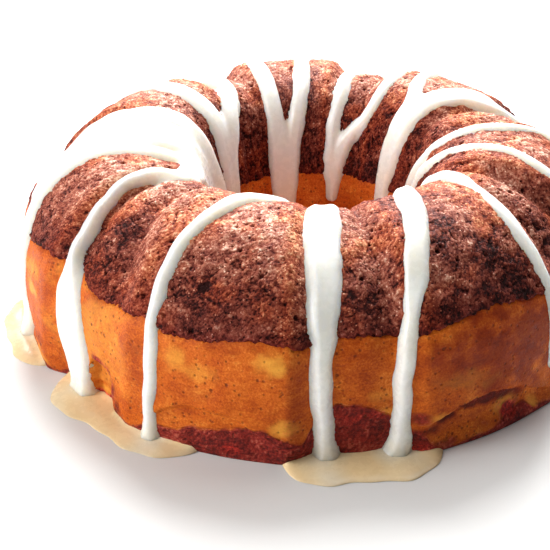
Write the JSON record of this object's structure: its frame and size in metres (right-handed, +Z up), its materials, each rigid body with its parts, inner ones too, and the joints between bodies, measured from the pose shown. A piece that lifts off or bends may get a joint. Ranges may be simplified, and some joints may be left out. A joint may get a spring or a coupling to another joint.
{
  "type": "red velvet cake",
  "caption": "Fluted ring cake with a red velvet crown, a golden middle layer and a dark red foot, white glaze poured over it in strands and pooled at the base.",
  "frame": {"origin": "on the axis of the ring, in the plane of the cake's flat underside", "axes": "+Z up along the ring's axis; -Y towards the side that the picture shows in front"},
  "size_m": [0.2573, 0.2686, 0.0761],
  "materials": {
    "crown_crumb": "rough, open red velvet crumb",
    "golden_crumb": "smooth browned golden crumb",
    "foot_crumb": "damp dark red crumb",
    "glaze": "smooth set white glaze"
  },
  "bodies": {
    "root": {"crown_red_velvet": "crown_crumb", "golden_layer": "golden_crumb", "foot_red_velvet": "foot_crumb", "glaze_run_1": "glaze", "glaze_run_2": "glaze", "glaze_run_3": "glaze", "glaze_run_4": "glaze", "glaze_run_5": "glaze", "glaze_run_6": "glaze", "glaze_run_7": "glaze", "glaze_run_8": "glaze", "glaze_run_9": "glaze", "glaze_run_10": "glaze", "glaze_run_11": "glaze", "glaze_pool_left": "glaze", "glaze_pool_front_left": "glaze", "glaze_pool_front": "glaze", "glaze_pool_right": "glaze", "glaze_pool_back": "glaze", "glaze_pool_back_left": "glaze", "glaze_pool_back_right": "glaze"}
  },
  "joints": []
}
